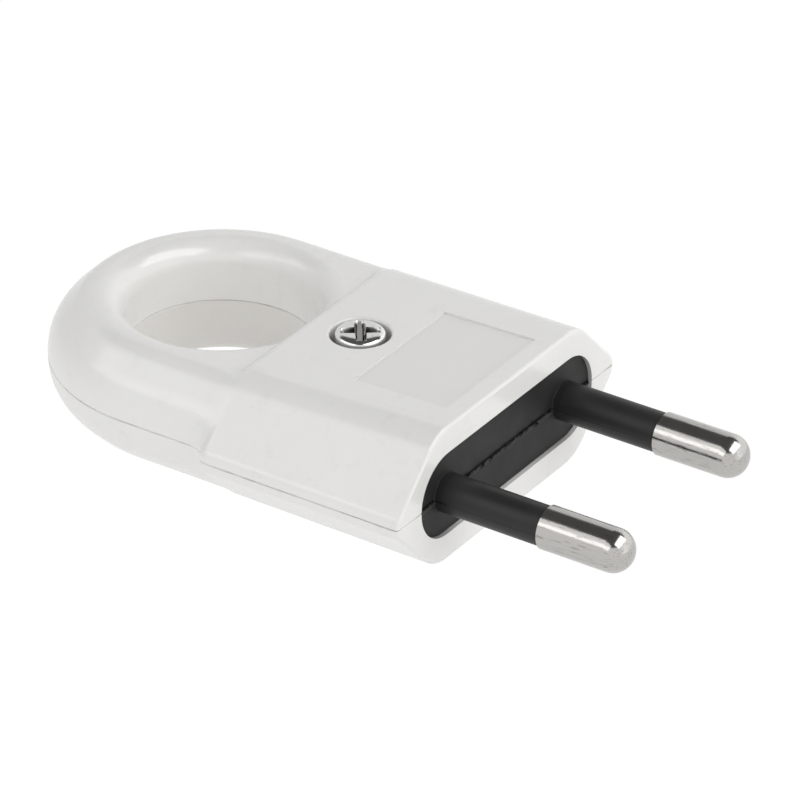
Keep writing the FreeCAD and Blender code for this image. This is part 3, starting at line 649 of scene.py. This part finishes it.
def shoulder_blend(half, side):
    """The soft hollow between the body's rounded rear edge and an arm of the ring. In the plane of the
    body's normal and +Y it is an arc that touches the rear edge's round and the arm. Its centre is at
    rear + sqrt((R + r)^2 - (R + r - gap)^2), with a radius r that changes along the section. The profile is
    closed inside the shells and carried along the section."""
    top = ARM_TOPS[half]
    body, turn = section_outline(
        BODY_HALF_WIDTH, BODY_LAND, BODY_REAR_TOP, BODY_LAND_ROUND, BODY_RIDGE_ROUND,
    )
    arm = section_outline(ARM_HALF_WIDTH, ARM_LANDS[half], top, ARM_SIDE_ROUND, ARM_RIDGE_ROUND)[0]
    arm = np.concatenate([[(ARM_HALF_WIDTH, ARM_BELOW_PARTING)], arm, [(0.0, top)]])
    outward = np.stack([np.cos(turn), np.sin(turn)], axis=1)
    gap = gaps_to(body, -outward, arm)[:, None]
    radius = shoulder_radius(body, turn)[:, None]
    rear = BODY_REAR - BODY_REAR_ROUND
    spread = BODY_REAR_ROUND + radius
    reach = np.sqrt(spread ** 2 - (spread - gap) ** 2)
    lean = np.arcsin(reach / spread)

    lead = np.linspace(1.0, 0.0, SHOULDER_LEAD_STEPS)[:-1]
    lead_lean = lean * (1 - SHOULDER_LEAD * lead)
    lead_radius = BODY_REAR_ROUND - SHOULDER_SINK * lead
    lead_y = rear + lead_radius * np.sin(lead_lean)
    lead_depth = BODY_REAR_ROUND - lead_radius * np.cos(lead_lean)
    sweep = lean * np.linspace(1.0, 0.0, SHOULDER_ARC_STEPS)
    blend_y = rear + reach - radius * np.sin(sweep)
    blend_depth = gap - radius + radius * np.cos(sweep)
    foot_y = rear + reach + [[SHOULDER_FOOT, SHOULDER_FOOT]]
    foot_depth = gap + [[SHOULDER_SINK, SHOULDER_WALL]]
    y = np.concatenate([lead_y, blend_y, foot_y, lead_y[:, :1]], axis=1)
    depth = np.concatenate([lead_depth, blend_depth, foot_depth, lead_depth[:, :1] + SHOULDER_WALL], axis=1)

    depth = np.concatenate([depth[:1] + PARTING_BEVEL, depth])
    y = np.concatenate([y[:1], y])
    body = np.concatenate([[(BODY_HALF_WIDTH, 0.0)], body])
    outward = np.concatenate([outward[:1], outward])
    x = body[:, :1] - outward[:, :1] * depth
    z = body[:, 1:] - outward[:, 1:] * depth
    across = 1 if side == "right" else -1
    up = 1 if half == "upper" else -1
    points = np.stack([x * across, y, z * up], axis=-1)
    index = np.arange(y.size).reshape(y.shape)
    if across * up > 0:
        index = index[:, ::-1]
    piece = add_piece(f"{half}_{side}_shoulder", points, bar_faces(index), "white_plastic")
    sharpen(piece, degrees=40.0)


INSERT_FACE = 0.35
INSERT_HALF_WIDTH = 13.7
LIP_LEAST = 0.10
LIP_EXTRA = 0.42
LIP_WIDTH = 0.75
LIP_SINK = 0.02
LIP_WANDER = 0.10
LIP_FOOT = 0.12
LIP_END = 0.15
LIP_END_SHARE = 0.05
LIP_STEPS_ALONG = 700
LIP_STEPS_ACROSS = 12
LIP_HEIGHT_WAVES = [(2.9, 0.4), (5.3, 1.9), (8.7, 4.0), (13.1, 2.2)]
LIP_PLACE_WAVES = [(1.7, 3.0), (4.1, 0.7), (9.9, 5.2), (17.0, 1.3)]
LEDGE_RISE = [0.97, 0.0]
LEDGE_PLACE = [0.015, 0.03]
SLEEVE_RADIUS = 1.825
PIN_PLACE = 9.5
COLLAR_LEAST = 0.05
COLLAR_LUMP = 0.09
COLLAR_LINE = 0.12
COLLAR_LINE_POWER = 14
COLLAR_FLATNESS = 0.8
COLLAR_STEPS_ALONG = 180
COLLAR_STEPS_AROUND = 12
COLLAR_WAVES = [(3.0, 0.6), (5.0, 2.5), (8.0, 1.1)]


def ragged(place, waves):
    """An uneven value from 0 to 1: the mean of sines of the place whose rates aren't multiples of each
    other."""
    total = sum(np.sin(rate * place + shift) for rate, shift in waves)
    return 0.5 + 0.5 * total / len(waves)


def insert_flash():
    """The lip of plastic along the insert's mould line: across the line it rises from the face as a smooth
    step t^2 (3 - 2 t) and drops back at a ledge that faces up. Its height and the ledge's place go up and
    down along X."""
    along = np.linspace(-INSERT_HALF_WIDTH, INSERT_HALF_WIDTH, LIP_STEPS_ALONG)[:, None]
    spot = ragged(along, LIP_HEIGHT_WAVES) ** 3
    wander = ragged(along, LIP_PLACE_WAVES) - 0.5
    ends = np.clip((INSERT_HALF_WIDTH - np.abs(along)) / LIP_END, LIP_END_SHARE, 1.0)
    proud = (LIP_LEAST + LIP_EXTRA * spot) * ends
    step = np.linspace(0, 1, LIP_STEPS_ACROSS)
    rise = np.concatenate([step ** 2 * (3 - 2 * step), LEDGE_RISE])
    place = np.concatenate([-LIP_WIDTH * (1 - step), LEDGE_PLACE])
    y = INSERT_FACE + LIP_SINK - (proud + LIP_SINK) * rise
    z = place + LIP_WANDER * wander
    foot = np.full((len(along), 1), INSERT_FACE + LIP_FOOT)
    y = np.concatenate([y, foot, foot], axis=1)
    z = np.concatenate([z, z[:, -1:], z[:, :1]], axis=1)
    x = np.broadcast_to(along, y.shape)
    faces = bar_faces(np.arange(x.size).reshape(x.shape))
    piece = add_piece("insert_flash", np.stack([x, y, z], axis=-1), faces, "black_plastic")
    sharpen(piece, degrees=40.0)


def sleeve_collar(side):
    """The uneven bead where a sleeve leaves the insert: a ring whose tube grows and shrinks with the angle,
    most at the two mould lines."""
    centre = PIN_PLACE if side == "right" else -PIN_PLACE
    turn = np.linspace(0, FULL_TURN, COLLAR_STEPS_ALONG, endpoint=False)
    lump = ragged(turn, COLLAR_WAVES) ** 2
    line = np.abs(np.cos(turn)) ** COLLAR_LINE_POWER
    tube = COLLAR_LEAST + COLLAR_LUMP * lump + COLLAR_LINE * line
    round_tube = np.linspace(0, FULL_TURN, COLLAR_STEPS_AROUND, endpoint=False)[:, None]
    reach = SLEEVE_RADIUS + tube * np.cos(round_tube)
    x = centre + reach * np.cos(turn)
    y = INSERT_FACE - tube * COLLAR_FLATNESS * np.sin(round_tube)
    z = reach * np.sin(turn)
    faces = loop_faces(np.arange(x.size).reshape(x.shape)[::-1])
    add_piece(f"{side}_sleeve_collar", np.stack([x, y, z], axis=-1), faces, "black_plastic")


cross_screw()
bevelled_nut()
insert_flash()
for side in ("left", "right"):
    sleeve_collar(side)
for half in ("upper", "lower"):
    for side in ("left", "right"):
        shoulder_blend(half, side)


# Floor, camera and light

# Brightness of each light, wall and the floor, where 1 shows as pure white
GLOW = {
    "front_box": 2.6, "left_box": 1.03, "near_wall": 0.95, "far_wall": 0.79, "right_wall": 0.40,
    "ceiling": 0.095, "floor": 0.66, "floor_to_camera": 1.02,
}
FLOOR_LEVEL = cad_box[0][2] - 0.00002
FLOOR_REACH = 2.0
FLOOR_GREY = (0.30, 0.30, 0.30, 1)
FLOOR_WHITE_SHARE = 0.95


def studio_floor():
    """A wide, pale, evenly lit plane that shows white to the camera, keeps a trace of the part's shadow and
    can be seen through from below."""
    mesh = bpy.data.meshes.new("studio_floor")
    corners = [(-1, -1), (1, -1), (1, 1), (-1, 1)]
    points = [(x * FLOOR_REACH, y * FLOOR_REACH, FLOOR_LEVEL) for x, y in corners]
    mesh.from_pydata(points, [], [(0, 1, 2, 3)])
    floor = bpy.data.objects.new("studio_floor", mesh)
    scene.collection.objects.link(floor)
    material = bpy.data.materials.new("studio_floor")
    material.use_nodes = True
    tree = material.node_tree
    tree.nodes.remove(tree.nodes["Principled BSDF"])
    paper = node(tree, "BsdfDiffuse", {"Color": FLOOR_GREY}).outputs[0]
    glow = node(tree, "Emission", {"Strength": GLOW["floor"]}).outputs[0]
    lit = node(tree, "AddShader", {0: paper, 1: glow}).outputs[0]
    white = node(tree, "Emission", {"Strength": GLOW["floor_to_camera"]}).outputs[0]
    seen = times(tree, node(tree, "LightPath").outputs["Is Camera Ray"], FLOOR_WHITE_SHARE)
    mixed = node(tree, "MixShader", {0: seen, 1: lit, 2: white}).outputs[0]
    below = node(tree, "NewGeometry").outputs["Backfacing"]
    clear = node(tree, "BsdfTransparent").outputs[0]
    sheet = node(tree, "MixShader", {0: below, 1: mixed, 2: clear}).outputs[0]
    tree.links.new(sheet, tree.nodes["Material Output"].inputs["Surface"])
    mesh.materials.append(material)


PICTURE_WIDTH = 800.0
FOCAL_PIXELS = 6123.75
CAMERA_EYE = Vector((-0.390225, -0.243762, 0.273360))
CAMERA_AIM = Vector((-0.003608, 0.008997, 0.003424))
CAMERA_ROLL = math.radians(0.637)
LIGHT_AIM = Vector((0.0, 0.015, 0.0))
NEAR_WALL_SIDE = (-0.80, -0.60, 0.0)
RIGHT_WALL_SIDE = (0.75, -0.66, 0.0)


def facing(direction):
    """The turn that makes a camera or lamp look along a direction."""
    return direction.to_track_quat("-Z", "Y").to_matrix().to_4x4()


def photo_camera():
    """The camera at the photograph's viewing angle."""
    camera = bpy.data.objects.new("camera", bpy.data.cameras.new("camera"))
    scene.collection.objects.link(camera)
    camera.data.sensor_width = 36.0
    camera.data.lens = FOCAL_PIXELS * camera.data.sensor_width / PICTURE_WIDTH
    camera.data.clip_start = 0.01
    turn = facing(CAMERA_AIM - CAMERA_EYE) @ Matrix.Rotation(CAMERA_ROLL, 4, "Z")
    camera.matrix_world = Matrix.Translation(CAMERA_EYE) @ turn
    scene.camera = camera


def softbox(name, azimuth, elevation, distance, size, brightness):
    """A flat lamp that faces the part from a direction, of a given width and height, and evenly bright all
    over."""
    lamp = bpy.data.lights.new(name, "AREA")
    lamp.shape = "RECTANGLE"
    lamp.size, lamp.size_y = size
    lamp.energy = brightness * math.pi * size[0] * size[1]
    box = bpy.data.objects.new(name, lamp)
    scene.collection.objects.link(box)
    turn, rise = math.radians(azimuth), math.radians(elevation)
    away = Vector((math.sin(turn) * math.cos(rise), -math.cos(turn) * math.cos(rise), math.sin(rise)))
    box.matrix_world = Matrix.Translation(LIGHT_AIM + away * distance) @ facing(-away)


def studio_surround():
    """The room round the part: a wall on the camera's side, one behind, a brighter part to the right of the
    camera, and a dark ceiling."""
    world = bpy.data.worlds.new("studio_surround")
    scene.world = world
    world.use_nodes = True
    tree = world.node_tree
    direction = node(tree, "TexCoord").outputs["Generated"]

    def along(side):
        """How far a direction points to a side: the dot product of the two."""
        return node(tree, "VectorMath", {0: direction, 1: side}, operation="DOT_PRODUCT").outputs["Value"]

    wall = between(tree, along(NEAR_WALL_SIDE), 0.0, 0.5, GLOW["far_wall"], GLOW["near_wall"], smooth=True)
    right = between(tree, along(RIGHT_WALL_SIDE), 0.25, 0.75, 0.0, GLOW["right_wall"], smooth=True)
    wall = sums(tree, "ADD", wall, right)
    height = node(tree, "SeparateXYZ", {0: direction}).outputs["Z"]
    roof = between(tree, height, low=0.60, high=0.68, smooth=True)
    level = node(tree, "Mix", {0: roof, 2: wall, 3: GLOW["ceiling"]}, data_type="FLOAT").outputs[0]
    tree.nodes["Background"].inputs["Color"].default_value = (1, 1, 1, 1)
    tree.links.new(level, tree.nodes["Background"].inputs["Strength"])


studio_floor()
photo_camera()
studio_surround()
softbox(
    "front_softbox", azimuth=12.0, elevation=54.0, distance=0.6, size=(0.70, 0.32),
    brightness=GLOW["front_box"],
)
softbox(
    "left_softbox", azimuth=-121.0, elevation=41.5, distance=0.6, size=(0.80, 0.35),
    brightness=GLOW["left_box"],
)
scene.view_settings.view_transform = "Standard"
